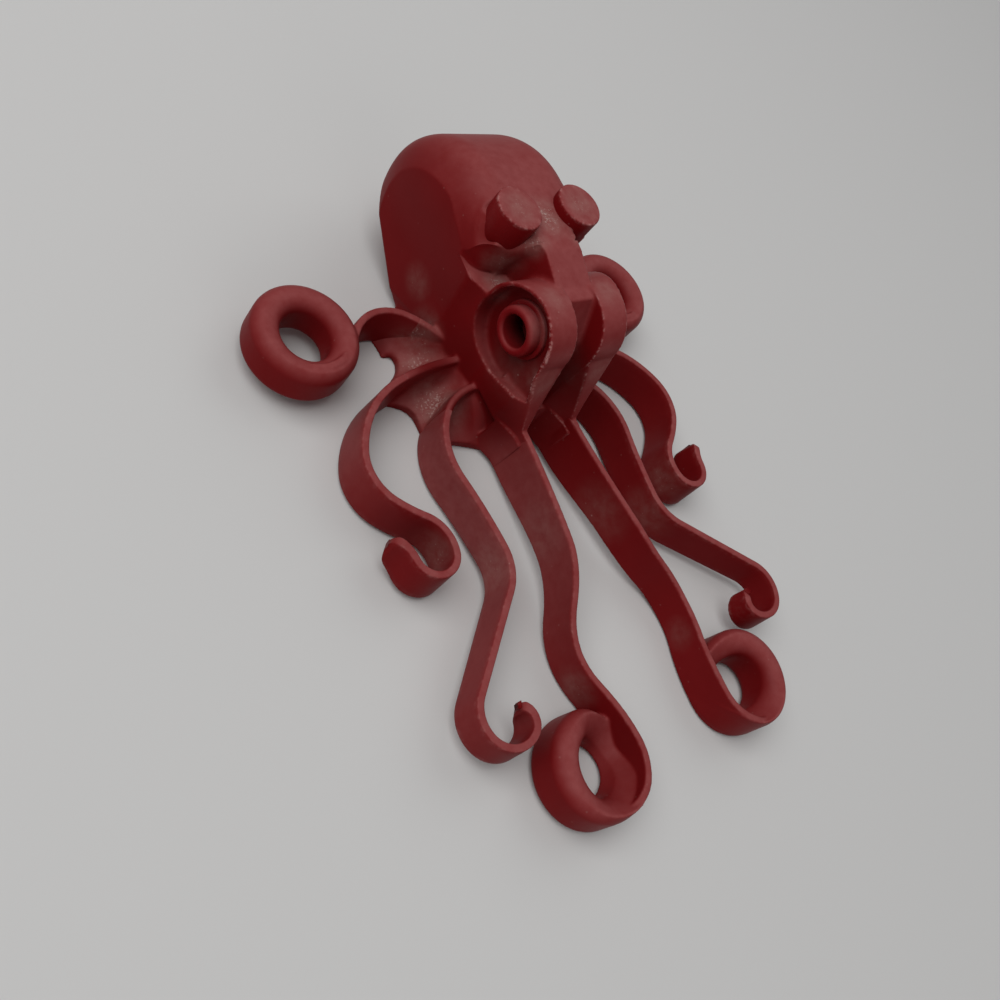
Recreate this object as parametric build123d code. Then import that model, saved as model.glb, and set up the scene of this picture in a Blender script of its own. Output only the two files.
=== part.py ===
"""Octopus figurine: a flat-sided head with stud eyes and hollow cheek pegs, on eight ribbon arms.

Frame: X across the figure, -Y towards the face, +Z up. The origin is on the flat underside, midway
between the two sides. The left side is -X, and each left piece mirrors the right one. Lengths are
millimetres and angles are degrees.
"""
import os
from math import acos, atan2, copysign, degrees, radians

from build123d import *

# Studs: the eyes and the cheek pegs are the standard size
STUD_D = 4.8
PEG_BORE_D = 3.2
EYE_PITCH = 8.0
EYE_Y = 5.0
EYE_RISE = 1.1
EYE_POST = 4.0
EYE_STEP = 0.3

# Head: a barrel turned about an X axis, carried forward over the trunk
MANTLE_AXIS_Y = 9.4
MANTLE_AXIS_Z = 8.3
MANTLE_CREST_R = 10.3
MANTLE_FLAT_R = 7.2
MANTLE_CROWN = 5.8
BROW_SHOULDER = 5.6
BROW_Y = 2.3
TUCK_Y = 7.3
TUCK_ANGLE = 29.0

# Cheeks: two round bosses with a groove between them, each drawn out to a front arm
CHEEK_Y = -4.0
CHEEK_Z = 13.4
CHEEK_R = 4.55
CHEEK_RIM = 0.45
CHEEK_GROOVE = 3.6
FACE_WIDTH = 10.6
POCKET_FLOOR = 1.2
PEG_PROUD = 0.5
LEDGE_Z = 12.9
CHIN_Y = -9.0
POCKET_Y = -4.1
POCKET_Z = 12.05
POCKET_R = 4.4
POCKET_TIP_Y = -9.7
POCKET_TIP_Z = 9.5

# Bridge: the strip from the brow down into the groove
BRIDGE_WIDTH = 4.8
BRIDGE_BREAK_Y = 0.9
BRIDGE_FOOT_Y = -2.7
BRIDGE_DROP = 1.0
GROOVE_DEPTH = 2.3

# Arms: ribbons on edge, with a fixed root and a free length that bends about the root's end
ARM_TOP = 5.0
RIBBON = 1.2
REAR_LIFT = 0.9
SIDE_LIFT = 0.7
MIDDLE_LIFT = 1.9
HINGE_GAP = 0.1
WEB_THICK = 1.2
WEB_REAR_REACH = 3.15
WEB_SIDE_REACH = 5.7
WEB_FRONT_REACH = 2.4

REAR_ROOT_Y = 1.0
REAR_HEADING = 55.0
REAR_ROOT_LENGTH = 4.0
REAR_ROOT_TURN = -21.0
REAR_LENGTH = 12.7
REAR_BEND_SHARES = ((0.56, -83.0), (0.16, 0.0), (0.28, 34.0))

SIDE_ROOT_Y = -1.8
SIDE_HEADING = 1.0
SIDE_ROOT_LENGTH = 8.35
SIDE_ROOT_TURN = -19.0
SIDE_LENGTH = 31.2
SIDE_BEND_SHARES = (
    (0.29, -47.0),
    (0.18, -65.0),
    (0.10, -13.0),
    (0.14, 68.0),
    (0.20, 162.0),
    (0.09, -46.0),
)

MIDDLE_ROOT_Y = -5.0
MIDDLE_HEADING = -4.0
MIDDLE_ROOT_LENGTH = 6.2
MIDDLE_ROOT_TURN = -50.0
MIDDLE_LENGTH = 41.3
MIDDLE_BEND_SHARES = (
    (0.15, -47.0),
    (0.18, 8.0),
    (0.11, 50.0),
    (0.26, 0.0),
    (0.09, -65.0),
    (0.13, -108.0),
    (0.08, -120.0),
)

# Front arms: they leave the cheeks and arch over the ground on the way to their rings
FRONT_ROOT_X = 3.55
FRONT_ROOT_Y = -12.9
FRONT_ROOT_LENGTH = 1.5
FRONT_HEADING = -86.0
FRONT_LENGTH = 30.6
FRONT_BEND_SHARES = ((0.32, 4.0), (0.21, 26.0), (0.28, -49.0), (0.19, 15.0))
FRONT_ROOT_TOP = 6.5
FRONT_ROOT_LOW = 0.5
FRONT_CREST_TOP = 6.6
FRONT_DIP_TOP = 4.4
FRONT_CREST_LOW = 1.5
FRONT_DIP_LOW = 0.1
FRONT_CREST_SHARE = 0.33
FRONT_DIP_SHARE = 0.71

# Rings: closed loops with a round bore at the ends of the rear and front arms
RING_BORE_D = 5.0
RING_WALL = 2.8
REAR_RING_LOW = 1.2
FRONT_RING_LOW = 0.1
RING_ROUND = 1.0

OVERRUN = 1.0

HALF_WIDTH = EYE_PITCH / 2 + STUD_D / 2
CREST_Z = MANTLE_AXIS_Z + MANTLE_CREST_R
RING_R = RING_BORE_D / 2 + RING_WALL
RING_MID_R = (RING_BORE_D / 2 + RING_R) / 2
SEAT_R = RIBBON / 2 + HINGE_GAP
FACE_HALF = FACE_WIDTH / 2


def block(x_low, x_high, y_low, y_high, z_low, z_high):
    """A box between six planes."""
    size = (x_high - x_low, y_high - y_low, z_high - z_low)
    middle = ((x_high + x_low) / 2, (y_high + y_low) / 2, (z_high + z_low) / 2)
    return Pos(*middle) * Box(*size)


def side_slab(points, x_low, x_high):
    """A side-view outline of (y, z) points, extruded across the figure."""
    outline = make_face(Polyline(*points, close=True))
    return Pos(x_low, 0, 0) * extrude(Plane.YZ * outline, x_high - x_low)


def cross_rod(y, z, radius, x_low, x_high):
    """A cylinder that lies along X."""
    rod = Rotation(0, 90, 0) * Cylinder(radius, x_high - x_low)
    return Pos((x_low + x_high) / 2, y, z) * rod


def post(x, y, radius, z_low, z_high):
    """An upright cylinder."""
    return Pos(x, y, (z_low + z_high) / 2) * Cylinder(radius, z_high - z_low)


def chain(start, heading, bends, aside):
    """Tangent arcs along a course of (length, turn), run a set distance to its left."""
    place = Vector(*start)
    point = place + Vector(0, aside, 0).rotate(Axis.Z, heading)
    edges = []
    for length, turn in bends:
        along = Vector(1, 0, 0).rotate(Axis.Z, heading)
        if turn == 0:
            edges.append(Line(point, point + along * length))
        else:
            radius = length / radians(abs(turn)) - aside * copysign(1, turn)
            edges.append(JernArc(point, along, radius, turn))
        point = edges[-1] @ 1
        heading = heading + turn
    return edges, point, heading


def ribbon(start, heading, bends, z_low, z_high):
    """A ribbon on edge along a course, round at both ends, with its end point and end heading."""
    left, left_end, end_heading = chain(start, heading, bends, RIBBON / 2)
    right, right_end, end_heading = chain(start, heading, bends, -RIBBON / 2)
    ahead = Vector(RIBBON / 2, 0, 0)
    end = (left_end + right_end) / 2
    root = Vector(*start)
    tip = ThreePointArc(left_end, end + ahead.rotate(Axis.Z, end_heading), right_end)
    heel = ThreePointArc(right[0] @ 0, root - ahead.rotate(Axis.Z, heading), left[0] @ 0)
    outline = make_face([*left, tip, *right, heel])
    return Pos(0, 0, z_low) * extrude(outline, z_high - z_low, dir=(0, 0, 1)), end, end_heading


def bend_lengths(length, shares):
    """Bends as (length, turn) from shares of the course's length."""
    return [(length * share, turn) for share, turn in shares]


def ring(end, heading, z_low):
    """The loop that an arm's course runs into on its left, with the loop's centre."""
    centre = end + Vector(0, RING_MID_R, 0).rotate(Axis.Z, heading)
    body = post(centre.X, centre.Y, RING_R, z_low, ARM_TOP)
    body -= post(centre.X, centre.Y, RING_BORE_D / 2, z_low - OVERRUN, ARM_TOP + OVERRUN)
    return fillet(body.edges().filter_by(GeomType.CIRCLE), RING_ROUND), centre


def lifted(arm, root, end, lift):
    """The arm with its underside rising evenly from its root to its end."""
    course = end - root
    along = Vector(course.X, course.Y, 0)
    slope = degrees(atan2(lift, along.length))
    turn = degrees(atan2(along.Y, along.X))
    reach = along.length + ARM_TOP + RING_R
    under = block(0, reach, -reach, reach, -reach, 0)
    wedge = Pos(root.X, root.Y, 0) * Rotation(0, 0, turn) * Rotation(0, -slope, 0) * under
    return arm - wedge


# Head pieces, right-hand ones first
def lateral_arch(z_low, shoulder):
    """Half section of the head across its width: a flat crown, a rolled shoulder and a flat side."""
    half_crown = MANTLE_CROWN / 2
    roll = EllipticalCenterArc(
        (half_crown, CREST_Z - shoulder),
        HALF_WIDTH - half_crown,
        shoulder,
        start_angle=0,
        arc_size=90,
    )
    return make_face(
        [
            Line((0, z_low), (0, CREST_Z)),
            Line((0, CREST_Z), roll @ 1),
            roll,
            Line(roll @ 0, (HALF_WIDTH, z_low)),
            Line((HALF_WIDTH, z_low), (0, z_low)),
        ]
    )


def wall_x(y):
    """Half width of the trunk at y: it narrows from the brow to the cheek pegs."""
    taper = (HALF_WIDTH - FACE_HALF) / (BROW_Y - CHEEK_Y)
    return HALF_WIDTH - taper * (BROW_Y - max(y, CHEEK_Y))


trunk_plan = make_face(
    Polyline(
        (0, TUCK_Y),
        (HALF_WIDTH, TUCK_Y),
        (HALF_WIDTH, BROW_Y),
        (FACE_HALF, CHEEK_Y),
        (FACE_HALF, CHIN_Y),
        (0, CHIN_Y),
        close=True,
    )
)
trunk_right = extrude(trunk_plan, ARM_TOP, dir=(0, 0, 1))
trunk = trunk_right + mirror(trunk_right, Plane.YZ)

eye_right = post(EYE_PITCH / 2, EYE_Y, STUD_D / 2, CREST_Z, CREST_Z + EYE_RISE)
eye_post = post(EYE_PITCH / 2, EYE_Y, STUD_D / 2 - EYE_STEP, CREST_Z - EYE_POST, CREST_Z)

barrel_shoulder = MANTLE_CREST_R - MANTLE_FLAT_R
barrel_half = revolve(
    Plane.XZ * lateral_arch(MANTLE_AXIS_Z, barrel_shoulder), Axis((0, 0, MANTLE_AXIS_Z), (1, 0, 0))
)
front_half = loft(
    [
        Plane.XZ * lateral_arch(ARM_TOP, barrel_shoulder),
        Plane.XZ.offset(MANTLE_AXIS_Y - BROW_Y) * lateral_arch(ARM_TOP, BROW_SHOULDER),
    ]
)
mantle_right = Pos(0, MANTLE_AXIS_Y, 0) * (barrel_half + front_half)
mantle = mantle_right + mirror(mantle_right, Plane.YZ)
reach = MANTLE_AXIS_Y + MANTLE_CREST_R
under = block(-reach, reach, -reach, reach, -reach, 0)
mantle -= Pos(0, TUCK_Y, 0) * Rotation(TUCK_ANGLE, 0, 0) * under
mantle -= block(-reach, reach, -reach, BROW_Y, -reach, reach + CREST_Z)
mantle -= block(-reach, reach, -reach, TUCK_Y, -reach, ARM_TOP)
mantle += eye_post + mirror(eye_post, Plane.YZ)

bridge_line = [
    (BROW_Y, CREST_Z),
    (BRIDGE_BREAK_Y, CREST_Z),
    (BRIDGE_FOOT_Y, CREST_Z - BRIDGE_DROP),
]
bridge_top = side_slab(
    bridge_line + [(BRIDGE_FOOT_Y, LEDGE_Z), (BROW_Y, LEDGE_Z)],
    -BRIDGE_WIDTH / 2,
    BRIDGE_WIDTH / 2,
)
groove_front = CHEEK_Y - CHEEK_R + GROOVE_DEPTH
core = side_slab(
    bridge_line
    + [
        (CHEEK_Y, CREST_Z - BRIDGE_DROP),
        (groove_front, CHEEK_Z),
        (CHIN_Y + GROOVE_DEPTH, ARM_TOP),
        (BROW_Y, ARM_TOP),
    ],
    -CHEEK_GROOVE / 2,
    CHEEK_GROOVE / 2,
)
bridge = core + bridge_top

cheek_disc = cross_rod(CHEEK_Y, CHEEK_Z, CHEEK_R, CHEEK_GROOVE / 2, HALF_WIDTH)
strip_foot_y = FRONT_ROOT_Y + FRONT_ROOT_LENGTH
cheek_wall = side_slab(
    [
        (BROW_Y, ARM_TOP),
        (BROW_Y, LEDGE_Z),
        (CHEEK_Y, CHEEK_Z),
        (CHEEK_Y - CHEEK_R, CHEEK_Z),
        (strip_foot_y, FRONT_ROOT_TOP),
        (FRONT_ROOT_Y, FRONT_ROOT_TOP),
        (FRONT_ROOT_Y, FRONT_ROOT_LOW),
        (CHIN_Y, FRONT_ROOT_LOW),
        (CHIN_Y, ARM_TOP),
    ],
    CHEEK_GROOVE / 2,
    HALF_WIDTH,
)
cheek_plan = make_face(
    Polyline(
        (CHEEK_GROOVE / 2, BROW_Y),
        (HALF_WIDTH, BROW_Y),
        (FACE_HALF, CHEEK_Y),
        (FACE_HALF, CHEEK_Y - CHEEK_R),
        (FRONT_ROOT_X + RIBBON / 2, strip_foot_y),
        (FRONT_ROOT_X + RIBBON / 2, FRONT_ROOT_Y),
        (FRONT_ROOT_X - RIBBON / 2, FRONT_ROOT_Y),
        (FRONT_ROOT_X - RIBBON / 2, strip_foot_y),
        (CHEEK_GROOVE / 2, CHEEK_Y - CHEEK_R),
        close=True,
    )
)
pocket_r = CHEEK_R - CHEEK_RIM
pocket_x = CHEEK_GROOVE / 2 + POCKET_FLOOR
pocket = cross_rod(CHEEK_Y, CHEEK_Z, pocket_r, pocket_x, HALF_WIDTH + OVERRUN)
pocket += cross_rod(POCKET_Y, POCKET_Z, POCKET_R, pocket_x, HALF_WIDTH + OVERRUN)
to_tip = Vector(POCKET_TIP_Y - POCKET_Y, POCKET_TIP_Z - POCKET_Z)
tangent_angle = degrees(acos(POCKET_R / to_tip.length))
to_tangent = to_tip.normalized().rotate(Axis.Z, tangent_angle) * POCKET_R
pocket += side_slab(
    [
        (CHEEK_Y - pocket_r, CHEEK_Z),
        (POCKET_TIP_Y, POCKET_TIP_Z),
        (POCKET_Y + to_tangent.X, POCKET_Z + to_tangent.Y),
        (POCKET_Y, POCKET_Z),
        (CHEEK_Y, CHEEK_Z),
    ],
    pocket_x,
    HALF_WIDTH + OVERRUN,
)
cheek_right = (cheek_disc + cheek_wall) & extrude(cheek_plan, CHEEK_Z + CHEEK_R + OVERRUN)
cheek_right -= pocket
cheek_right -= bridge_top
cheek_right -= post(FRONT_ROOT_X, FRONT_ROOT_Y, SEAT_R, 0, CREST_Z)

peg_end = FACE_HALF + PEG_PROUD
cheek_peg_right = cross_rod(CHEEK_Y, CHEEK_Z, STUD_D / 2, pocket_x, peg_end)
cheek_peg_right -= cross_rod(CHEEK_Y, CHEEK_Z, PEG_BORE_D / 2, pocket_x, peg_end + OVERRUN)


# Arms and the web that holds their roots
def root_ribbon(root_y, heading, length, turn):
    """The fixed root of an arm, with the place and heading of its free end."""
    start = (wall_x(root_y), root_y)
    return ribbon(start, heading, [(length, turn)], 0, ARM_TOP)


rear_root, rear_hinge, rear_way = root_ribbon(
    REAR_ROOT_Y, REAR_HEADING, REAR_ROOT_LENGTH, REAR_ROOT_TURN
)
side_root, side_hinge, side_way = root_ribbon(
    SIDE_ROOT_Y, SIDE_HEADING, SIDE_ROOT_LENGTH, SIDE_ROOT_TURN
)
middle_root, middle_hinge, middle_way = root_ribbon(
    MIDDLE_ROOT_Y, MIDDLE_HEADING, MIDDLE_ROOT_LENGTH, MIDDLE_ROOT_TURN
)
front_hinge = Vector(FRONT_ROOT_X, FRONT_ROOT_Y)

rear_bay_y = (REAR_ROOT_Y + SIDE_ROOT_Y) / 2 + RIBBON
side_bay_y = (SIDE_ROOT_Y + MIDDLE_ROOT_Y) / 2 - RIBBON
rear_bay = (wall_x(rear_bay_y) + WEB_REAR_REACH, rear_bay_y)
side_bay = (wall_x(side_bay_y) + WEB_SIDE_REACH, side_bay_y)
front_bay = (FACE_HALF + WEB_FRONT_REACH, (middle_hinge.Y + CHIN_Y) / 2)
skirt = make_face(
    [
        Polyline(
            (FACE_HALF, CHIN_Y),
            (FACE_HALF, CHEEK_Y),
            (wall_x(REAR_ROOT_Y), REAR_ROOT_Y),
            rear_hinge,
        ),
        ThreePointArc(rear_hinge, rear_bay, side_hinge),
        ThreePointArc(side_hinge, side_bay, middle_hinge),
        ThreePointArc(middle_hinge, front_bay, (FACE_HALF, CHIN_Y)),
    ]
)
web_right = extrude(skirt, WEB_THICK, dir=(0, 0, 1)) + rear_root + side_root + middle_root
web_right -= trunk_right
for hinge in (rear_hinge, side_hinge, middle_hinge):
    web_right -= post(hinge.X, hinge.Y, SEAT_R, 0, ARM_TOP)

rear_bends = bend_lengths(REAR_LENGTH, REAR_BEND_SHARES)
rear_arm, rear_end, rear_end_way = ribbon(rear_hinge, rear_way, rear_bends, 0, ARM_TOP)
rear_ring_right, rear_ring_centre = ring(rear_end, rear_end_way, REAR_RING_LOW)
rear_arm_right = lifted(rear_arm, rear_hinge, rear_end, REAR_LIFT)
rear_arm_right -= post(rear_ring_centre.X, rear_ring_centre.Y, RING_R, 0, ARM_TOP)

side_bends = bend_lengths(SIDE_LENGTH, SIDE_BEND_SHARES)
side_arm, side_end, _ = ribbon(side_hinge, side_way, side_bends, 0, ARM_TOP)
side_arm_right = lifted(side_arm, side_hinge, side_end, SIDE_LIFT)

middle_bends = bend_lengths(MIDDLE_LENGTH, MIDDLE_BEND_SHARES)
middle_arm, middle_end, _ = ribbon(middle_hinge, middle_way, middle_bends, 0, ARM_TOP)
middle_arm_right = lifted(middle_arm, middle_hinge, middle_end, MIDDLE_LIFT)

front_bends = bend_lengths(FRONT_LENGTH, FRONT_BEND_SHARES)
front_arm, front_end, front_end_way = ribbon(front_hinge, FRONT_HEADING, front_bends, 0, CREST_Z)
front_ring_right, front_ring_centre = ring(front_end, front_end_way, FRONT_RING_LOW)

front_run = front_end.Y - FRONT_ROOT_Y


def front_edge(root_z, crest_z, dip_z, end_z):
    """One long edge of a front arm in side view, as a smooth curve of (y, z)."""
    return Spline(
        (FRONT_ROOT_Y + SEAT_R, root_z),
        (FRONT_ROOT_Y + front_run * FRONT_CREST_SHARE, crest_z),
        (FRONT_ROOT_Y + front_run * FRONT_DIP_SHARE, dip_z),
        (front_end.Y - RIBBON, end_z),
    )


front_upper = front_edge(FRONT_ROOT_TOP, FRONT_CREST_TOP, FRONT_DIP_TOP, ARM_TOP)
front_lower = front_edge(FRONT_ROOT_LOW, FRONT_CREST_LOW, FRONT_DIP_LOW, FRONT_RING_LOW)
front_band = make_face(
    [
        front_upper,
        front_lower,
        Line(front_upper @ 0, front_lower @ 0),
        Line(front_upper @ 1, front_lower @ 1),
    ]
)
front_arm_right = front_arm & extrude(Plane.YZ * front_band, HALF_WIDTH * 2)
front_arm_right -= post(front_ring_centre.X, front_ring_centre.Y, RING_R, 0, CREST_Z)

PAIRS = {
    "eye": eye_right,
    "cheek": cheek_right,
    "cheek_peg": cheek_peg_right,
    "web": web_right,
    "rear_arm": rear_arm_right,
    "side_arm": side_arm_right,
    "middle_arm": middle_arm_right,
    "front_arm": front_arm_right,
    "rear_ring": rear_ring_right,
    "front_ring": front_ring_right,
}

NODES = {"mantle": mantle, "trunk": trunk, "bridge": bridge}
for name, solid in PAIRS.items():
    NODES[name + "_right"] = solid
    NODES[name + "_left"] = mirror(solid, Plane.YZ)

os.makedirs("parts", exist_ok=True)
for name, solid in NODES.items():
    export_step(solid, "parts/" + name + ".step")
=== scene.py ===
"""Octopus figurine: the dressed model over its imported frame. Metres, +Z up, the face towards -Y.
Each piece is worked in millimetres and brought to metres when it is finished."""
import math

import bmesh
import bpy
from mathutils import Matrix, Vector


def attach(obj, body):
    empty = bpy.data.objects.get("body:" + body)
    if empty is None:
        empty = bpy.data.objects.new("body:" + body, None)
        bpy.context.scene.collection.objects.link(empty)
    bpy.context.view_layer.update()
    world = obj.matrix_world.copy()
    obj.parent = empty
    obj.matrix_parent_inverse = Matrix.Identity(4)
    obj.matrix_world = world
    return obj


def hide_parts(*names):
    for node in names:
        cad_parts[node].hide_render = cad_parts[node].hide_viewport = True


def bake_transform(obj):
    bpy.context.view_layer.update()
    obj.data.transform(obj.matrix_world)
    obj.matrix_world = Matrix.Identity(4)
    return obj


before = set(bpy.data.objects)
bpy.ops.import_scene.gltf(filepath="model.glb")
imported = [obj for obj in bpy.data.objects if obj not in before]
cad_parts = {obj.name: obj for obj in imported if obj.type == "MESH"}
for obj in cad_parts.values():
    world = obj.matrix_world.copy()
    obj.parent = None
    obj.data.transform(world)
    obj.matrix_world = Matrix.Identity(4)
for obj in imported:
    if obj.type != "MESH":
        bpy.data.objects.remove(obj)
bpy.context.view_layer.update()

# Head: the flat-sided mantle, the bridge between the eyes, both cheeks, the trunk, the low web and
# the stiff roots of the arms. The toy is one injection moulding in dark red semi-soft plastic, so
# one skin runs over them all, with the fillets and rounded edges that the mould leaves.
MM = 0.001
SKIN_VOXEL = 0.14
SKIN_FILLETS = 7
WEB_THICK = 1.0
WEB_CLIMB = 3.3
WEB_WALL = 5.5
WEB_FADE = 0.85
WEB_CUSP = 0.75
WEBS = (
    ("rear", "side", 6.8, 11.8, 0.38),
    ("side", "middle", 9.7, 7.6, 0.2),
    ("middle", "gusset", 8.3, 4.6, 0.08),
)
GUSSET = ((4.35, -6.0), -115.8, [(5.05, 29.8), (1.4, 0)])
RIBBON = 1.2
RIBBON_CROWN = 0.6
ARM_TOP = 5.0
EDGE_ROUND = 0.16
STEP = 0.35
ROOT_CLEAR = 1.2
ROOT_SPARE = 0.03
ARMS = {
    "rear": (
        (5.31, -0.23),
        55,
        5.5,
        [(1.5, 0), (4.0, -21), (7.11, -83), (2.03, 0), (3.56, 34), (4.1, 60)],
    ),
    "side": (
        (4.18, -1.83),
        1,
        9.85,
        [
            (1.5, 0),
            (8.35, -19),
            (9.05, -47),
            (5.62, -65),
            (3.12, -13),
            (4.37, 68),
            (6.24, 162),
            (2.11, -34.5),
            (0.7, -11.5),
        ],
    ),
    "middle": (
        (3.8, -4.9),
        -4,
        7.7,
        [
            (1.5, 0),
            (6.2, -50),
            (6.2, -47),
            (7.43, 8),
            (4.54, 50),
            (10.74, 0),
            (3.72, -65),
            (5.37, -108),
            (2.6, -94.5),
            (0.7, -25.5),
        ],
    ),
    "front": (
        (3.41, -10.9),
        -86,
        2.0,
        [(2.0, 0), (9.79, 4), (6.43, 23.4), (8.05, -49.1), (6.24, 17.7), (9.3, 114)],
    ),
}
HALF_WIDTH = 6.4
MANTLE_Y = 9.4
MANTLE_Z = 8.3
MANTLE_R = 10.3
SHOULDER = 3.1
SHOULDER_SPREAD = 2.5
BROW_Y = 1.9
BROW_SCOOP_R = 2.33
BROW_SOFT = 36
HEM_SOFT = 20
LEDGE_Z = 12.95
STRIP_X = 3.5
TRUNK_CORNER = (5.3, -4.6)
TRUNK_CUT = (4.4, -1.2)
EYE_X = 4.0
EYE_Y = 5.0
EYE_POST_R = 2.15
STUD_R = 2.4
PEG_Y = -4.0
PEG_Z = 13.4
CAD_FLOOR = 3.0
POCKET_FLOOR = 4.1
HEAD_DUST = [
    ((0, 4.6, 18.6), 3.4, 1.0),
    ((-2.6, 2.4, 18.0), 2.2, 0.9),
    ((2.6, 2.4, 18.0), 2.2, 0.7),
    ((-4.2, 1.4, 12.9), 2.2, 1.0),
    ((4.2, 1.4, 12.9), 2.2, 1.0),
    ((-4.4, 2.4, 15.0), 2.8, 0.7),
    ((4.4, 2.4, 15.0), 2.8, 0.7),
    ((-3.6, -3.6, 17.9), 2.4, 0.5),
    ((3.6, -3.6, 17.9), 2.4, 0.5),
    ((-4.0, -8.6, 11.6), 2.6, 0.6),
    ((4.0, -8.6, 11.6), 2.6, 0.6),
    ((-7.6, 2.6, 3.5), 3.4, 0.8),
    ((7.6, 2.6, 3.5), 3.4, 0.8),
    ((-8.0, -0.4, 1.8), 3.6, 0.9),
    ((8.0, -0.4, 1.8), 3.6, 0.9),
    ((-8.4, -5.0, 1.8), 4.2, 1.0),
    ((8.4, -5.0, 1.8), 4.2, 1.0),
    ((-6.4, 7.0, 5.5), 2.6, 0.5),
    ((6.4, 7.0, 5.5), 2.6, 0.5),
    ((-3.2, -6.0, 10.0), 4.6, 0.35),
    ((3.2, -6.0, 10.0), 4.6, 0.35),
]
HEAD_SCUFFS = [
    ((0, 5.0, 14.0), 14.0, 2.0),
    ((-5.0, -6.0, 13.0), 7.5, 24.0),
    ((5.0, -6.0, 13.0), 7.5, 24.0),
    ((0, -10.0, 7.0), 6.0, 14.0),
]
# Painted sheen on the head: faces near a place that look out (outer) or to the front (fore) are
# painted grey-pink, as if lit. Each is (outer, fore, place, reach, strength).
HEAD_SHEEN_SPOTS = [
    (0.0, 0.7, (0, -7.0, 12.0), 12.0, 1.4),
    (1.0, 0.0, (-4.0, -12.5, 3.0), 5.0, 0.7),
    (1.0, 0.0, (4.0, -12.5, 3.0), 5.0, 0.7),
]
# Painted shade on the head: faces that look at a place in the pockets, under the cheeks or at the
# trunk are painted near black, as if in shade. Each is (place, reach, strength).
HEAD_SHADE_SPOTS = [
    ((-6.5, -4.5, 12.5), 7.5, 0.5),
    ((6.5, -4.5, 12.5), 7.5, 0.5),
    ((-7.5, -8.5, 5.5), 6.0, 0.7),
    ((7.5, -8.5, 5.5), 6.0, 0.7),
    ((0, -10.0, 11.0), 7.0, 0.7),
    ((-9.0, -2.0, 6.0), 6.0, 0.4),
    ((9.0, -2.0, 6.0), 6.0, 0.4),
]


class Wire:
    """An output socket in a material. Arithmetic on wires and numbers adds Math nodes."""

    def __init__(self, socket):
        self.socket = socket

    @staticmethod
    def add(tree, kind, settings, inputs, output=0):
        """A new node: its settings first, then the values or links of its sockets."""
        made = tree.nodes.new(kind)
        for name, value in settings.items():
            setattr(made, name, value)
        for name, value in inputs.items():
            if isinstance(value, Wire):
                tree.links.new(value.socket, made.inputs[name])
            else:
                made.inputs[name].default_value = value
        return Wire(made.outputs[output])

    def math(self, operation, first, second):
        return Wire.add(
            self.socket.id_data, "ShaderNodeMath", {"operation": operation}, {0: first, 1: second}
        )

    def __add__(self, other):
        return self.math("ADD", self, other)

    def __radd__(self, other):
        return self.math("ADD", other, self)

    def __sub__(self, other):
        return self.math("SUBTRACT", self, other)

    def __rsub__(self, other):
        return self.math("SUBTRACT", other, self)

    def __mul__(self, other):
        return self.math("MULTIPLY", self, other)

    def __rmul__(self, other):
        return self.math("MULTIPLY", other, self)

    def clamped(self):
        settings = {"operation": "ADD", "use_clamp": True}
        return Wire.add(self.socket.id_data, "ShaderNodeMath", settings, {0: self, 1: 0.0})


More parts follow.
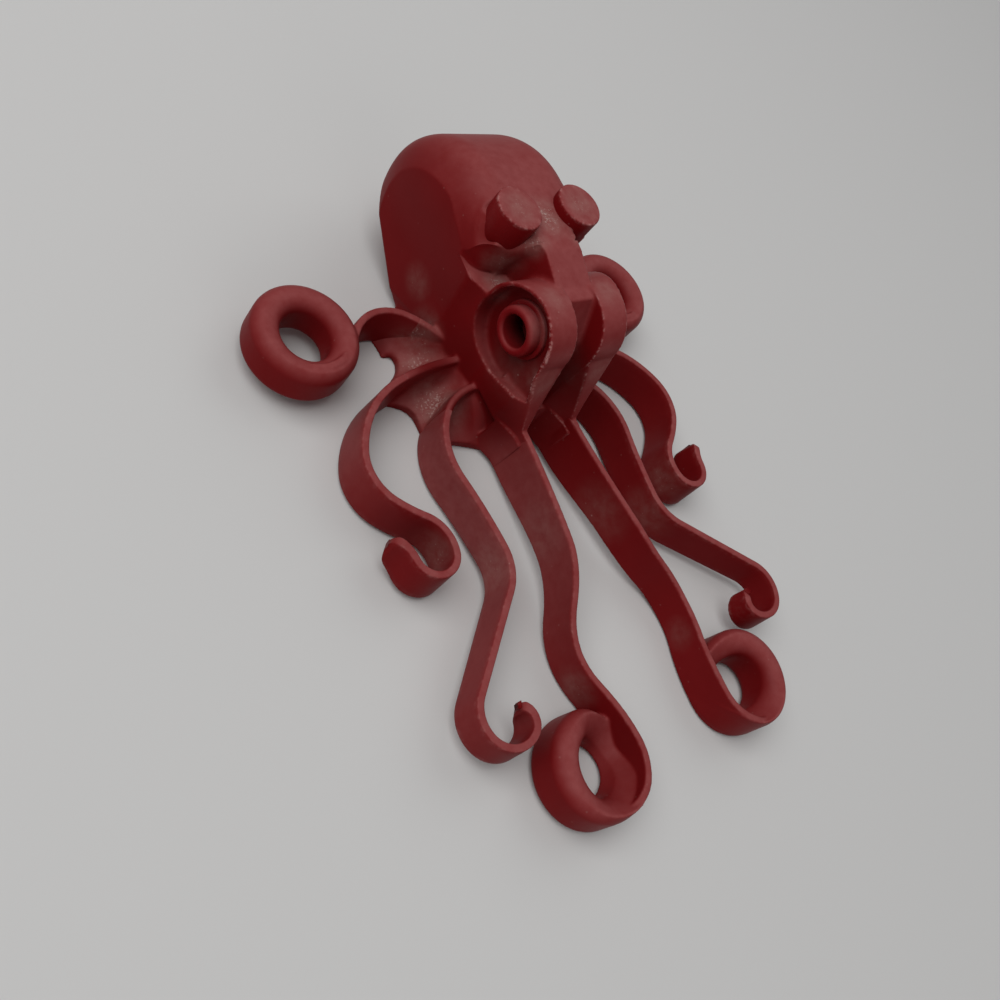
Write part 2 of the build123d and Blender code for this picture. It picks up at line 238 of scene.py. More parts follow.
def moulded_red(name, deep, bright, roughness):
    """Dark red moulding: faint clouding, a fine mould grain, a grey painted sheen on faces that
    look up, painted shade in the shaded hollows, dust in the corners and worn edges."""
    material = bpy.data.materials.new(name)
    material.use_nodes = True
    tree = material.node_tree
    shader = tree.nodes["Principled BSDF"]
    place = Wire.add(tree, "ShaderNodeTexCoord", {}, {}, "Object")

    def grain(size, detail, rough):
        inputs = {"Vector": place, "Scale": 1 / (size * MM), "Detail": detail, "Roughness": rough}
        return Wire.add(tree, "ShaderNodeTexNoise", {}, inputs)

    def painted(layer):
        return Wire.add(tree, "ShaderNodeAttribute", {"attribute_name": layer}, {}, "Fac")

    def mixed(share, first, second):
        inputs = {0: share, 6: first, 7: second}
        return Wire.add(tree, "ShaderNodeMix", {"data_type": "RGBA"}, inputs, 2)

    dust, edge, painted_sheen, painted_shade = (painted(layer) for layer in ("dust", "edge", "painted_sheen", "painted_shade"))
    cloud = grain(4.0, 3.0, 0.55)
    patch = grain(1.1, 4.0, 0.6)
    speck = grain(0.24, 3.0, 0.6)
    scale = {"Vector": place, "Scale": 1 / (1.7 * MM)}
    cells = Wire.add(tree, "ShaderNodeTexVoronoi", {}, scale)
    veil = (dust * (patch * 1.6 - 0.25)).clamped()
    specks = ((speck + dust * 0.30 - 0.80) * 8.0).clamped()
    stray = ((0.075 - cells) * 30.0 * patch).clamped()
    flake = grain(0.5, 3.0, 0.6)
    worn = (edge * (flake * 4.0 + patch * 3.0 - 3.3)).clamped()
    plastic = mixed(cloud, (*deep, 1.0), (*bright, 1.0))
    # Painted sheen: a grey-pink colour mixed in on faces that look up or out, in place of the
    # lamps' sheen.
    with_sheen = mixed((painted_sheen * (patch * 0.5 + 0.2)).clamped(), plastic, (0.36, 0.11, 0.107, 1.0))
    # Painted shade: a near-black red mixed in where the hollows lie in shade.
    with_shade = mixed((painted_shade * (patch * 0.6 + 0.6)).clamped(), with_sheen, (0.05, 0.004, 0.004, 1.0))
    dusted = mixed(veil * 0.75, with_shade, (0.30, 0.165, 0.145, 1.0))
    grit = (specks * dust * 0.5 + stray * (dust * 0.8 + 0.12)).clamped()
    speckled = mixed(grit, dusted, (0.55, 0.41, 0.37, 1.0))
    scuffed = mixed(worn * 0.7, speckled, (0.50, 0.24, 0.225, 1.0))
    tree.links.new(scuffed.socket, shader.inputs["Base Color"])
    rough = (patch * 0.10 + veil * 0.22 + specks * dust * 0.2 + (roughness - 0.05)).clamped()
    tree.links.new(rough.socket, shader.inputs["Roughness"])
    relief = grain(0.10, 2.0, 0.5) * 0.35 + patch * 0.8 + specks * dust * 1.5
    inputs = {"Height": relief, "Strength": 0.35, "Distance": 0.03 * MM}
    bump = Wire.add(tree, "ShaderNodeBump", {}, inputs)
    tree.links.new(bump.socket, shader.inputs["Normal"])
    shader.inputs["Specular IOR Level"].default_value = 0.05
    return material


def eased(share, stops):
    """The value at share on a soft line through stops of (share, value)."""
    for (begin, low), (end, high) in zip(stops, stops[1:]):
        if share <= end:
            t = min(max((share - begin) / (end - begin), 0.0), 1.0)
            return low + (high - low) * t * t * (3 - 2 * t)
    return stops[-1][1]


def poured(into, bm):
    """Add one mesh to another and let go of it."""
    carrier = bpy.data.meshes.new("carrier")
    bm.to_mesh(carrier)
    bm.free()
    into.from_mesh(carrier)
    bpy.data.meshes.remove(carrier)


def along(passed, run):
    """The place on a ribbon's middle line after a run."""
    for (begin, start, way), (finish, end, turned) in zip(passed, passed[1:]):
        if run <= finish:
            return start.lerp(end, (run - begin) / (finish - begin))
    return passed[-1][1]


def web(near, far, near_run, far_run, scoop):
    """A skirt between two roots, with a scooped free edge that thins out along them. It climbs to
    both roots and the trunk."""
    bm = bmesh.new()
    bmesh.ops.create_grid(bm, x_segments=28, y_segments=28, size=0.5)
    for point in bm.verts:
        across, far_out = point.co.x + 0.5, point.co.y + 0.5
        out = far_out * (1 - scoop * 4 * across * (1 - across))
        first, second = along(near, out * near_run), along(far, out * far_run)
        spot = first.lerp(second, across)
        gap = (second - first).length
        low = 1.0
        for far_off in (gap * across - 0.5, gap * (1 - across) - 0.5, spot.x - WEB_WALL):
            low *= 1 - math.exp(-max(0.0, far_off) / WEB_FADE)
        climb = WEB_CLIMB * (1 - low) * (1 - far_out ** 2)
        cusp = far_out ** 6 * (1 - 4 * across * (1 - across))
        point.co = (spot.x, spot.y, WEB_THICK * (1 - WEB_CUSP * cusp) + climb)
    grown = bmesh.ops.extrude_face_region(bm, geom=bm.faces[:], use_keep_orig=True)["geom"]
    for point in grown:
        if isinstance(point, bmesh.types.BMVert):
            point.co.z = 0
    bmesh.ops.recalc_face_normals(bm, faces=bm.faces)
    return bm


def softened(bm, verts, times):
    """Draw points towards their neighbours, a number of times."""
    for turn in range(times):
        bmesh.ops.smooth_vert(
            bm, verts=verts, factor=0.5, use_axis_x=True, use_axis_y=True, use_axis_z=True
        )


def fused(bm, voxel, fillets):
    """One closed skin over everything in the mesh, with fillets in its inner corners."""
    carrier = bpy.data.objects.new("carrier", bpy.data.meshes.new("carrier"))
    bm.to_mesh(carrier.data)
    bm.free()
    bpy.context.scene.collection.objects.link(carrier)
    joined = carrier.modifiers.new("joined", "REMESH")
    joined.mode = "VOXEL"
    joined.voxel_size = voxel
    shown = carrier.evaluated_get(bpy.context.evaluated_depsgraph_get())
    whole = bmesh.new()
    whole.from_mesh(shown.data)
    bpy.data.objects.remove(carrier)
    softened(whole, whole.verts, 2)
    for turn in range(fillets):
        whole.normal_update()
        hollow = []
        for point in whole.verts:
            near = point.link_edges
            rise = sum((e.other_vert(point).co - point.co).dot(point.normal) for e in near)
            if rise > 0.01 * len(near):
                hollow.append(point)
        softened(whole, hollow, 2)
    whole.normal_update()
    return whole


def ribbon(start, heading, bends, shape, spare):
    """A ribbon on edge along bends of (length, turn), and the places that it passes. The shape
    gives its low edge, top edge and width after each run, and spare thickens it all round."""
    bm = bmesh.new()
    way = math.radians(heading)
    spot = Vector((*start, 0))
    here = Matrix.Translation(spot) @ Matrix.Rotation(way, 4, "Z")
    upright = Matrix.Rotation(math.pi / 2, 4, "Z") @ Matrix.Rotation(math.pi / 2, 4, "X")
    section = bmesh.ops.create_grid(
        bm,
        x_segments=1,
        y_segments=1,
        size=0.5,
        matrix=here
        @ Matrix.Translation((0, 0, ARM_TOP / 2))
        @ upright
        @ Matrix.Diagonal((RIBBON + 2 * spare, ARM_TOP + 2 * spare, 1, 1)),
    )["verts"]
    crown = [v for v in section if v.co.z > ARM_TOP / 2]
    bmesh.ops.scale(bm, verts=crown, vec=(1, RIBBON_CROWN, 1), space=here.inverted())
    bmesh.ops.bevel(
        bm, geom=section, offset=EDGE_ROUND, affect="VERTICES", segments=3, profile=0.5, material=-1
    )
    bmesh.ops.delete(bm, geom=bm.faces[:], context="FACES_ONLY")
    walls = [e for e in bm.edges if e.calc_length() > ARM_TOP / 2]
    bmesh.ops.subdivide_edges(bm, edges=walls, cuts=5)
    loop, passed, run = bm.edges[:], [(0.0, spot.copy(), way, bm.verts[:])], 0.0
    for length, turn in bends:
        steps = max(6, round(length / STEP))
        swing = math.radians(turn) / steps
        for step in range(steps):
            ahead = Vector((math.cos(way), math.sin(way), 0))
            aside = Vector((-math.sin(way), math.cos(way), 0))
            centre = spot + aside * (length / steps / swing) if turn else spot
            shift = Vector() if turn else ahead * (length / steps)
            last = bmesh.ops.spin(
                bm, geom=loop, cent=centre, axis=(0, 0, 1), dvec=shift, angle=swing, steps=1
            )["geom_last"]
            loop = [g for g in last if isinstance(g, bmesh.types.BMEdge)]
            ring = [g for g in last if isinstance(g, bmesh.types.BMVert)]
            spot = centre + Matrix.Rotation(swing, 3, "Z") @ (spot - centre) + shift
            way += swing
            run += length / steps
            passed.append((run, spot.copy(), way, ring))
    for run, place, way, ring in passed:
        low, high, width = shape(run)
        here = Matrix.Translation(place) @ Matrix.Rotation(way, 4, "Z")
        scaled = Matrix.Diagonal((1, width, (high - low) / ARM_TOP, 1))
        fitted = Matrix.Translation((0, 0, low)) @ scaled
        bmesh.ops.transform(bm, verts=ring, matrix=here @ fitted @ here.inverted())
    bmesh.ops.holes_fill(bm, edges=[e for e in bm.edges if e.is_boundary], sides=0)
    bmesh.ops.recalc_face_normals(bm, faces=bm.faces)
    return bm, [(run, place, way) for run, place, way, ring in passed]


def mirrored(bm):
    """Turn a right-hand mesh into the left-hand one."""
    bmesh.ops.scale(bm, verts=bm.verts, vec=(-1, 1, 1))
    bmesh.ops.recalc_face_normals(bm, faces=bm.faces)


def nearness(point, spots):
    """How strongly the nearest of some spots of (place, reach, strength) is felt at a point."""
    felt = 0.0
    for place, reach, strength in spots:
        away = (point - Vector(place)).length / reach
        if away < 1:
            felt = max(felt, strength * (1 - away * away) ** 2)
    return felt


def made(bm, name, material, dusty, scuffed, sheen_spots, shade_spots):
    """Bring a mesh to metres as a piece of the scene, painted for dust, worn edges, a painted sheen
    and painted shade. The painted sheen lies on faces that look up and, near the sheen spots, on
    those that look out or to the front. Faces that look at a shade spot are painted dark as if in
    shade, without the painted sheen."""
    bm.normal_update()
    dust = bm.verts.layers.float.new("dust")
    painted_sheen = bm.verts.layers.float.new("painted_sheen")
    edge = bm.verts.layers.float.new("edge")
    painted_shade = bm.verts.layers.float.new("painted_shade")
    for point in bm.verts:
        point[dust] = nearness(point.co, dusty)
        out = 0.0
        for side in point.link_edges:
            out -= (side.other_vert(point).co - point.co).normalized().dot(point.normal)
        out = max(0.0, out / max(1, len(point.link_edges)) - 0.04)
        point[edge] = out * nearness(point.co, scuffed)
        # Painted sheen on the faces that look up.
        point[painted_sheen] = max(0.0, point.normal.z) ** 1.5
        outward = math.copysign(1.0, point.co.x) * point.normal.x
        # Painted sheen on the faces that look out or to the front near the sheen spots.
        for outer, fore, place, reach, strength in sheen_spots:
            faced = max(0.0, outer * outward, -fore * point.normal.y)
            point[painted_sheen] = max(point[painted_sheen], faced * nearness(point.co, [(place, reach, strength)]))
        # Painted shade on the faces that look at a shade spot; it takes the painted sheen away.
        for spot in shade_spots:
            faced = point.normal.dot((Vector(spot[0]) - point.co).normalized())
            faced = max(0.0, min(1.0, 2 * faced))
            point[painted_shade] = max(point[painted_shade], faced * nearness(point.co, [spot]))
        point[painted_sheen] *= 1 - min(1.0, 2 * point[painted_shade])
    bmesh.ops.scale(bm, verts=bm.verts, vec=(MM, MM, MM))
    piece = bpy.data.objects.new(name, bpy.data.meshes.new(name))
    bm.to_mesh(piece.data)
    bm.free()
    bpy.context.scene.collection.objects.link(piece)
    piece.data.shade_smooth()
    piece.data.materials.append(material)
    return piece


def rooted(run):
    """The edges and width of a root, which thins out into the trunk."""
    return 0.0, eased(run, [(0.0, 4.5), (2.0, ARM_TOP)]), eased(run, [(0.0, 0.4), (2.2, 1.0)])


def gusseted(run):
    """A front root: flush with the trunk's wall, and inside its arm at the end."""
    low = eased(run, [(5.2, 0.4), (6.45, 0.75)])
    high = eased(run, [(0.0, 8.6), (5.2, 6.7), (6.45, 6.2)])
    return low, high, eased(run, [(0.0, 1.0), (2.5, 1.5), (5.2, 1.12), (6.45, 0.8)])


def settled(point):
    """A place on the head as the mould has it: the mantle widens towards its shoulders, which are
    full in front and crease along its flat sides, the brow is scooped out in front of each eye, the
    crown rolls down to it, the strips under the cheeks narrow to the arms, and each pocket's raised
    floor leaves the peg's bore open."""
    x, y, z = point
    side = math.copysign(1.0, x)
    x = abs(x)
    wide = eased(z, [(6.0, 0.0), (15.0, 0.12)]) * eased(y, [(0.6, 0.0), (3.0, 1.0)])
    shoulder = SHOULDER + SHOULDER_SPREAD * max(0.0, min(1.0, (MANTLE_Y - y) / 7.1))
    rise = (math.hypot(max(0.0, y - MANTLE_Y), z - MANTLE_Z) - MANTLE_R + shoulder) / shoulder
    if y > BROW_Y and 0 < rise < 1:
        full = eased(y, [(4.5, 3.0), (MANTLE_Y, 2.0)])
        crease = eased(y, [(4.5, 0.16), (MANTLE_Y, 0.42)])
        was = HALF_WIDTH - shoulder + shoulder * math.sqrt(1 - rise * rise)
        now = (1 - rise ** full) ** (1 / full) - crease * rise * (1 - rise)
        x *= (HALF_WIDTH - shoulder + shoulder * now) / was
    if y > BROW_Y and z > LEDGE_Z:
        if x > EYE_X:
            y = max(y, EYE_Y - math.sqrt(max(0.0, BROW_SCOOP_R ** 2 - (x - EYE_X) ** 2)))
        roll = eased(x, [(2.3, 0.0), (2.9, 1.8), (4.5, 2.1)])
        roll *= max(0.0, min(1.0, (5.2 - y) / 2.7)) ** 0.8
        z -= roll * eased(z, [(13.0, 0.0), (17.0, 1.0)])
    x *= 1 + wide
    if y < -8.5 and z > 5.5:
        x = STRIP_X + (x - STRIP_X) * eased(-y, [(8.5, 1.0), (11.6, 0.62)])
    off_axis = math.hypot(y - PEG_Y, z - PEG_Z)
    if off_axis < 2.05 and CAD_FLOOR < x < 4.6:
        x -= (POCKET_FLOOR - CAD_FLOOR) * eased(off_axis, [(1.75, 1.0), (2.05, 0.0)])
    return Vector((side * x, y, z))


head_red = moulded_red("head_red", (0.155, 0.0035, 0.0045), (0.185, 0.006, 0.0075), 0.42)

skin = bmesh.new()
for name in ("mantle", "trunk", "bridge", "cheek_left", "cheek_right"):
    solid = bmesh.new()
    solid.from_mesh(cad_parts[name].data)
    bmesh.ops.remove_doubles(solid, verts=solid.verts, dist=0.001 * MM)
    bmesh.ops.scale(solid, verts=solid.verts, vec=(1 / MM, 1 / MM, 1 / MM))
    for point in solid.verts:
        if "cheek" in name and abs(abs(point.co.x) - CAD_FLOOR) < 0.01:
            point.co.x = math.copysign(POCKET_FLOOR, point.co.x)
    posts = [
        f
        for f in solid.faces
        if min(v.co.z for v in f.verts) > 12
        and max(math.hypot(abs(v.co.x) - EYE_X, v.co.y - EYE_Y) for v in f.verts) < EYE_POST_R
    ]
    if posts:
        bmesh.ops.delete(solid, geom=posts, context="FACES")
        bmesh.ops.holes_fill(solid, edges=[e for e in solid.edges if e.is_boundary], sides=0)
    for side in (1, -1):
        if name == "trunk":
            trimmed = bmesh.ops.bisect_plane(
                solid,
                geom=solid.verts[:] + solid.edges[:] + solid.faces[:],
                plane_co=(side * TRUNK_CORNER[0], TRUNK_CORNER[1], 0),
                plane_no=(side * TRUNK_CUT[0], TRUNK_CUT[1], 0),
                clear_outer=True,
            )["geom_cut"]
            bmesh.ops.holes_fill(
                solid, edges=[g for g in trimmed if isinstance(g, bmesh.types.BMEdge)], sides=0
            )
    poured(skin, solid)
for side in (1, -1):
    roots = {}
    for name in ("rear", "side", "middle"):
        start, heading, root, bends = ARMS[name]
        left, stretch = root - ROOT_CLEAR, []
        for length, turn in bends:
            share = max(0.0, min(1.0, left / length))
            left -= length
            if share > 0:
                stretch.append((length * share, turn * share))
        stub, passed = ribbon(start, heading, stretch, rooted, ROOT_SPARE)
        whole, roots[name] = ribbon(start, heading, bends, rooted, 0.0)
        whole.free()
        if side < 0:
            mirrored(stub)
        poured(skin, stub)
    start, heading, bends = GUSSET
    stub, roots["gusset"] = ribbon(start, heading, bends, gusseted, 0.0)
    if side < 0:
        mirrored(stub)
    poured(skin, stub)
    for near, far, near_run, far_run, scoop in WEBS:
        skirt = web(roots[near], roots[far], near_run, far_run, scoop)
        if side < 0:
            mirrored(skirt)
        poured(skin, skirt)
skin = fused(skin, SKIN_VOXEL, SKIN_FILLETS)
for point in skin.verts:
    point.co = settled(point.co)
softened(skin, skin.verts, 1)
# The brow under the eyes and the free edge of the rear webs come out softest.
for inner, (front, back), (low, high), times in (
    (2.3, (1.6, 5.4), (13.2, 18.0), BROW_SOFT),
    (8.0, (-1.5, 4.5), (0.1, 1.8), HEM_SOFT),
):
    soft = [
        v
        for v in skin.verts
        if abs(v.co.x) > inner and front < v.co.y < back and low < v.co.z < high
    ]
    softened(skin, soft, times)
head = made(skin, "head_skin", head_red, HEAD_DUST, HEAD_SCUFFS, HEAD_SHEEN_SPOTS, HEAD_SHADE_SPOTS)
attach(head, "head")
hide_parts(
    "mantle", "trunk", "bridge", "cheek_left", "cheek_right", "web_left", "web_right"
)

# Eyes: two solid round studs of the same moulding. Each stands on the crown and runs down its
# outer side into the rolled brow. Their rims are a little rounded and scuffed pale.
EYE_FOOT = 12.8
EYE_TOP = 19.7
EYE_ROUND = 0.16
EYE_WEAR = 20.0

for side, label in ((-1, "left"), (1, "right")):
    stud = bmesh.new()
    bmesh.ops.create_cone(
        stud,
        cap_ends=True,
        segments=96,
        radius1=STUD_R,
        radius2=STUD_R,
        depth=EYE_TOP - EYE_FOOT,
        matrix=Matrix.Translation((side * EYE_X, EYE_Y, (EYE_FOOT + EYE_TOP) / 2)),
    )
    rim = [e for e in stud.edges if min(v.co.z for v in e.verts) > EYE_TOP - EYE_ROUND]
    bmesh.ops.bevel(
        stud, geom=rim, offset=EYE_ROUND, affect="EDGES", segments=3, profile=0.5, material=-1
    )
    for depth in (0.25, 0.45):
        bmesh.ops.bisect_plane(
            stud,
            geom=stud.verts[:] + stud.edges[:] + stud.faces[:],
            plane_co=(0, 0, EYE_TOP - EYE_ROUND - depth),
            plane_no=(0, 0, 1),
        )
    top = [f for f in stud.faces if f.normal.z > 0.99 and len(f.verts) > 8]
    bmesh.ops.inset_region(stud, faces=top, thickness=0.5)
    bmesh.ops.inset_region(stud, faces=top, thickness=0.9, depth=-0.03)
    middle = (side * EYE_X, EYE_Y, EYE_TOP)
    dust = [((side * EYE_X, EYE_Y, EYE_TOP + 0.6), 2.7, 0.9)]
    eye = made(stud, "eye_stud_" + label, head_red, dust, [(middle, 4.0, EYE_WEAR)], [], [])
    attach(eye, "head")
    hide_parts("eye_" + label)

# Cheek pegs: a hollow stud in each cheek's pocket, smooth and round at the mouth, with a low collar
# round its foot. They are part of the moulding too, and stand a little proud of the cheek.
PEG_FLOOR = 2.6
PEG_END = 5.8
PEG_BORE_R = 1.55
PEG_ROUND = 0.38
COLLAR_R = 2.85
COLLAR_END = 4.55
COLLAR_ROUND = 0.2


def sleeve(inner, outer, end, soft):
    """A tube about the peg's axis, from the pocket's floor out to a soft end."""
    bm = bmesh.new()
    middle = Matrix.Translation(((PEG_FLOOR + end) / 2, PEG_Y + (inner + outer) / 2, PEG_Z))
    section = bmesh.ops.create_grid(
        bm,
        x_segments=1,
        y_segments=1,
        size=0.5,
        matrix=middle @ Matrix.Diagonal((end - PEG_FLOOR, outer - inner, 1, 1)),
    )["verts"]
    mouth = [v for v in section if v.co.x > end - soft]
    bmesh.ops.bevel(
        bm, geom=mouth, offset=soft, affect="VERTICES", segments=5, profile=0.5, material=-1
    )
    bmesh.ops.delete(bm, geom=bm.faces[:], context="FACES_ONLY")
    bmesh.ops.spin(
        bm,
        geom=bm.verts[:] + bm.edges[:],
        cent=(0, PEG_Y, PEG_Z),
        axis=(1, 0, 0),
        angle=math.tau,
        steps=96,
        use_merge=True,
    )
    bmesh.ops.remove_doubles(bm, verts=bm.verts, dist=0.001)
    bmesh.ops.recalc_face_normals(bm, faces=bm.faces)
    return bm

peg_red = moulded_red("peg_red", (0.17, 0.004, 0.006), (0.20, 0.007, 0.009), 0.38)
for side, label in ((-1, "left"), (1, "right")):
    tube = sleeve(PEG_BORE_R, STUD_R, PEG_END, PEG_ROUND)
    poured(tube, sleeve(PEG_BORE_R + COLLAR_ROUND, COLLAR_R, COLLAR_END, COLLAR_ROUND))
    if side < 0:
        mirrored(tube)
    dust = [((side * 4.4, PEG_Y - 1.5, PEG_Z + 2.4), 2.2, 0.6)]
    # Painted shade: the inner wall of the peg's bore is painted near black, as if in deep shade.
    bore = [((side * 3.8, PEG_Y, PEG_Z), 4.2, 1.0)]
    peg = made(tube, "cheek_stud_" + label, peg_red, dust, [], [], bore)
    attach(peg, "head")
    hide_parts("cheek_peg_" + label)

# Arms: eight ribbons that stand on edge, moulded with the body. The side and middle ones end in a
# curled tongue, and the rear and front ones run on round a thick closed ring with an upright bore.
BORE_R = 2.5
RING_R = 5.3
RING_ROUND = 1.3
RING_FOOT_ROUND = 0.9
RING_VOXEL = 0.12
CONE_FOOT = 1.0
TONGUE = 4.0
TONGUE_RISE = 0.42
TONGUE_ROUND = 1.1
RING_DIP = [(-0.3, 0.0), (0.6, 1.0), (2.3, 0.0)]
RING_FILLETS = {"rear": 8, "front": 16}
RINGS = {
    "rear": ((20.775, 3.315), 1.2, 5.6, 0.2, 0.0),
    "front": ((11.371, -42.527), 0.1, 5.0, 1.0, 2.4),
}
ARM_WEAR = 3.0
# Painted sheen on each arm's outer faces near a place, as if lit: (place, reach, strength).
ARM_SHEEN_SPOTS = {
    "rear": ((9.0, 4.0, 3.0), 4.0, 0.3),
    "side": ((15.0, -6.5, 3.0), 12.0, 1.1),
    "middle": ((13.0, -18.0, 3.0), 30.0, 1.1),
    "front": ((5.0, -20.0, 4.0), 20.0, 0.8),
}
ARM_DUST = {
    "rear": [((7.4, 2.6, 2.0), 3.0, 0.7)],
    "side": [((8.0, -2.0, 2.0), 4.0, 0.7), ((16.6, -19.5, 2.5), 3.5, 0.7)],
    "middle": [((8.0, -5.6, 2.0), 4.0, 0.7), ((11.8, -22.4, 2.5), 4.0, 0.6)],
    "front": [((4.2, -20.8, 3.5), 4.5, 0.4), ((9.0, -35.8, 2.0), 3.0, 0.6)],
}

arm_red = moulded_red("arm_red", (0.16, 0.004, 0.005), (0.19, 0.0065, 0.008), 0.42)


def rising(lift, root, total, tongue):
    """An underside that rises evenly from the root. A tongue rounds off at its tip, mostly from
    below, and a ribbon without one sinks into its ring."""
    def shape(run):
        low = lift * max(0.0, run - root) / (total - root)
        high = ARM_TOP
        if not tongue:
            stops = [(total - 9, ARM_TOP), (total - 4.5, 5.7), (total - 2, 5.6), (total, 4.6)]
            high = eased(run, stops)
        for reach, up, down in (
            (tongue, TONGUE_RISE * ARM_TOP, 0.0),
            (TONGUE_ROUND, TONGUE_ROUND, TONGUE_ROUND),
        ):
            past = 1 - (total - run) / reach if tongue else 0.0
            if past > 0:
                bend = 1 - math.sqrt(max(0.0, 1 - past * past))
                low, high = low + up * bend, high - down * bend
        width = eased(total - run, [(0.0, 0.55), (0.6, 1.15), (4.0, 1.0)]) if tongue else 1.0
        return low, high, width
    return shape


def front_shape(run):
    """A front arm arches, dips, comes level at its ring and sinks into the ring's outer wall."""
    low = eased(run, [(2.0, 0.5), (12.1, 1.5), (23.7, 0.1), (34.0, 0.1), (41.8, 0.6)])
    high = eased(run, [(2.0, 6.5), (12.1, 6.6), (23.7, 4.4), (32.5, 5.0), (36.5, 5.0), (41.8, 3.9)])
    return low, high, 1.0


def tucked(shape, clear):
    """A shape whose first stretch, up to clear, is drawn in so that it hides in the root."""
    def drawn(run):
        low, high, width = shape(run)
        share = eased(run, [(clear - ROOT_CLEAR, 1.0), (clear, 0.0)])
        return low + 0.15 * share, high - 0.45 * share, width * (1 - 0.3 * share)
    return drawn


def ring(centre, low, top, cone, dip, toward, behind):
    """A thick round ring. On the side that faces toward, it keeps the ribbon's upright outer wall
    and slopes down to the bore, as much as cone says. Just behind that, where the ribbon comes in,
    its rim dips."""
    bm = bmesh.new()
    tall = top - low
    mid_r, mid_z = (BORE_R + RING_R) / 2, low + tall / 2
    section = bmesh.ops.create_grid(
        bm,
        x_segments=1,
        y_segments=1,
        size=0.5,
        matrix=Matrix.Translation((mid_r, 0, mid_z))
        @ Matrix.Rotation(math.pi / 2, 4, "X")
        @ Matrix.Diagonal((RING_R - BORE_R, tall, 1, 1)),
    )["verts"]
    upper = [v for v in section if v.co.z > mid_z]
    lower = [v for v in section if v.co.z < mid_z]
    for corners, offset in ((upper, RING_ROUND), (lower, RING_FOOT_ROUND)):
        bmesh.ops.bevel(
            bm,
            geom=corners,
            offset=offset,
            affect="VERTICES",
            segments=10,
            profile=0.5,
            material=-1,
        )
    bmesh.ops.delete(bm, geom=bm.faces[:], context="FACES_ONLY")
    bmesh.ops.spin(
        bm,
        geom=bm.verts[:] + bm.edges[:],
        cent=(0, 0, 0),
        axis=(0, 0, 1),
        angle=math.tau,
        steps=96,
        use_merge=True,
    )
    bmesh.ops.remove_doubles(bm, verts=bm.verts, dist=0.001)
    for point in bm.verts:
        out = point.co.xy.normalized()
        reach = point.co.xy.length
        across = (reach - mid_r) / (RING_R - BORE_R)
        turn = math.atan2((point.co.z - mid_z) / tall, across) / math.pi
        share = cone * (0.5 + 0.5 * out.dot(toward)) ** 1.2
        if turn > 0:
            climb = min(1.0, turn / 0.4)
            slide = max(0.0, (turn - 0.4) / 0.6)
            cone_r = RING_R - 0.15 - (RING_R - 0.15 - BORE_R) * slide
            cone_z = mid_z + (top - mid_z) * climb - (top - low - CONE_FOOT) * slide
            point.co.xy = out * (reach + (cone_r - reach) * share)
            point.co.z += (cone_z - point.co.z) * share
        else:
            point.co.z -= (point.co.z - low) * (1 - CONE_FOOT * 2 / tall) * -turn * share
        swung = math.atan2(out.dot(behind), out.dot(toward))
        point.co.z -= dip * eased(swung, RING_DIP) * (point.co.z - low) / tall
    bmesh.ops.translate(bm, verts=bm.verts, vec=(*centre, 0))
    bmesh.ops.recalc_face_normals(bm, faces=bm.faces)
    return bm


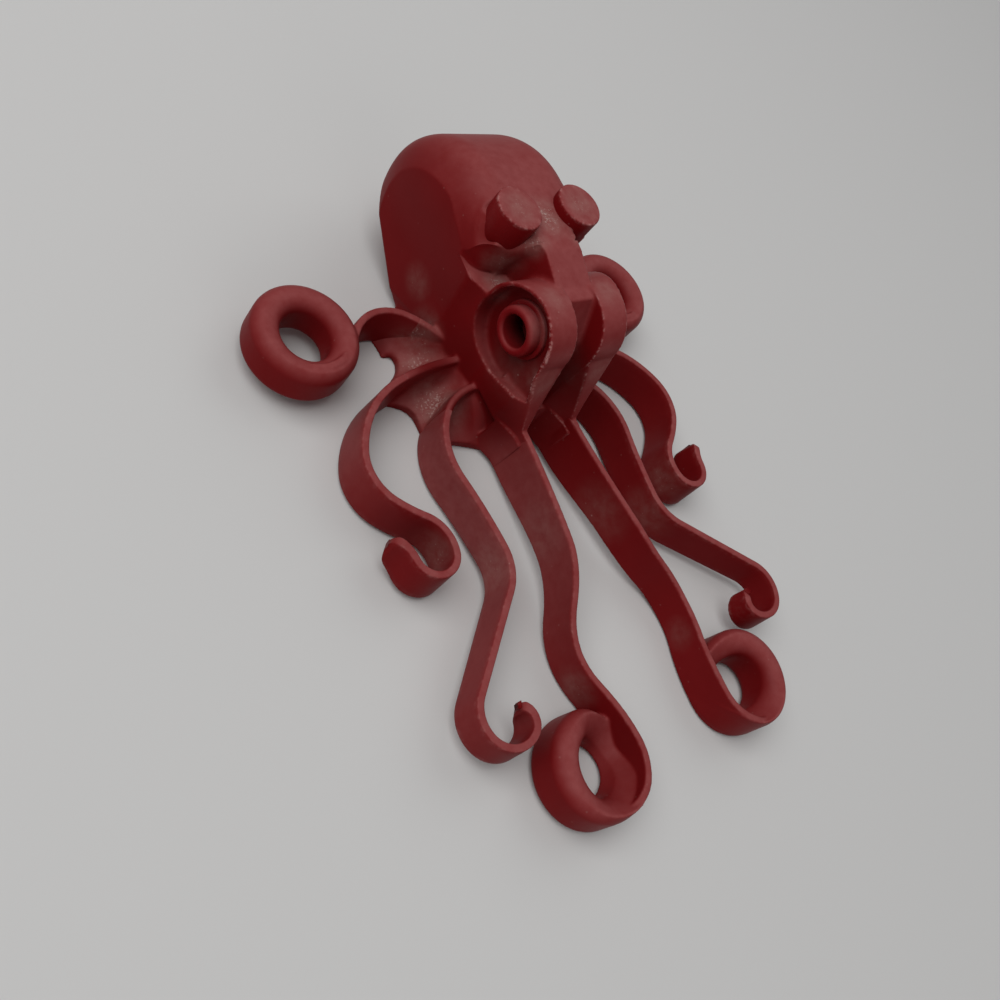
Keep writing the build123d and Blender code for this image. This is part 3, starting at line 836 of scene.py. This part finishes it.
for name, (start, heading, root, bends) in ARMS.items():
    total = sum(length for length, turn in bends)
    shapes = {
        "rear": rising(0.9, root, total, 0),
        "side": rising(0.7, root, total, TONGUE),
        "middle": rising(1.9, root, total, TONGUE),
        "front": front_shape,
    }
    shape = shapes[name]
    if name != "front":
        shape = tucked(shape, root - ROOT_CLEAR)
    for side, label in ((1, "right"), (-1, "left")):
        arm, passed = ribbon(start, heading, bends, shape, 0.0)
        nodes = [name + "_arm_" + label]
        if name in RINGS:
            centre, low, top, cone, dip = RINGS[name]
            toward = (along(passed, total - bends[-1][0] * 0.8).xy - Vector(centre)).normalized()
            behind = Vector((-toward.y, toward.x)) * math.copysign(1.0, -bends[-1][1])
            poured(arm, ring(centre, low, top, cone, dip, toward, behind))
            arm = fused(arm, RING_VOXEL, RING_FILLETS[name])
            nodes.append(name + "_ring_" + label)
        if side < 0:
            mirrored(arm)
        dust = [((side * x, y, z), reach, much) for (x, y, z), reach, much in ARM_DUST[name]]
        # Painted sheen on this arm's outer faces.
        (x, y, z), reach, strength = ARM_SHEEN_SPOTS[name]
        sheen_spots = [(1.0, 0.0, (side * x, y, z), reach, strength)]
        scuffs = [((side * 12, -20, 3), 60.0, ARM_WEAR)]
        piece = made(arm, name + "_ribbon_" + label, arm_red, dust, scuffs, sheen_spots, [])
        run, hinge, way = min(passed, key=lambda place: abs(place[0] - root))
        ahead = Vector((math.cos(way), math.sin(way), 0)) * ROOT_CLEAR
        near, far = (hinge - ahead) * MM, (hinge + ahead) * MM
        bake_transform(piece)
        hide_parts(*nodes)

# Stage: a pale table, a broad soft light overhead, a second one beyond the figure that the upper
# faces mirror, a weak one in front, and a camera where the figure was seen from.
table = bmesh.new()
bmesh.ops.create_grid(
    table, x_segments=1, y_segments=1, size=1.5, matrix=Matrix.Translation((0, 0, -0.05 * MM))
)
floor = bpy.data.objects.new("table", bpy.data.meshes.new("table"))
table.to_mesh(floor.data)
table.free()
bpy.context.scene.collection.objects.link(floor)
paper = bpy.data.materials.new("table_paper")
paper.use_nodes = True
sheet = paper.node_tree.nodes["Principled BSDF"]
sheet.inputs["Base Color"].default_value = (0.62, 0.615, 0.605, 1)
sheet.inputs["Roughness"].default_value = 0.8
floor.data.materials.append(paper)

world = bpy.data.worlds.new("room")
world.use_nodes = True
world.node_tree.nodes["Background"].inputs["Color"].default_value = (0.19, 0.19, 0.195, 1)
bpy.context.scene.world = world
for name, place, width, power in (
    ("overhead", (-0.22, 0.10, 0.44), 0.45, 1.72),
    ("beyond", (0.40, 0.12, 0.44), 0.5, 0.6),
    ("front", (-0.10, -0.50, 0.22), 0.4, 0.25),
):
    lamp = bpy.data.objects.new(name, bpy.data.lights.new(name, "AREA"))
    lamp.data.size = width
    lamp.data.energy = power
    lamp.location = place
    lamp.rotation_euler = Vector(place).to_track_quat("Z", "Y").to_euler()
    bpy.context.scene.collection.objects.link(lamp)

camera = bpy.data.objects.new("camera", bpy.data.cameras.new("camera"))
camera.data.sensor_width = 36
camera.data.lens = 35.955
camera.data.clip_start = 0.005
camera.location = (-69.945 * MM, -34.242 * MM, 74.771 * MM)
camera.rotation_euler = [math.radians(turn) for turn in (29.3436, -31.8318, -30.9344)]
bpy.context.scene.collection.objects.link(camera)
bpy.context.scene.camera = camera
bpy.context.scene.view_settings.view_transform = "Standard"
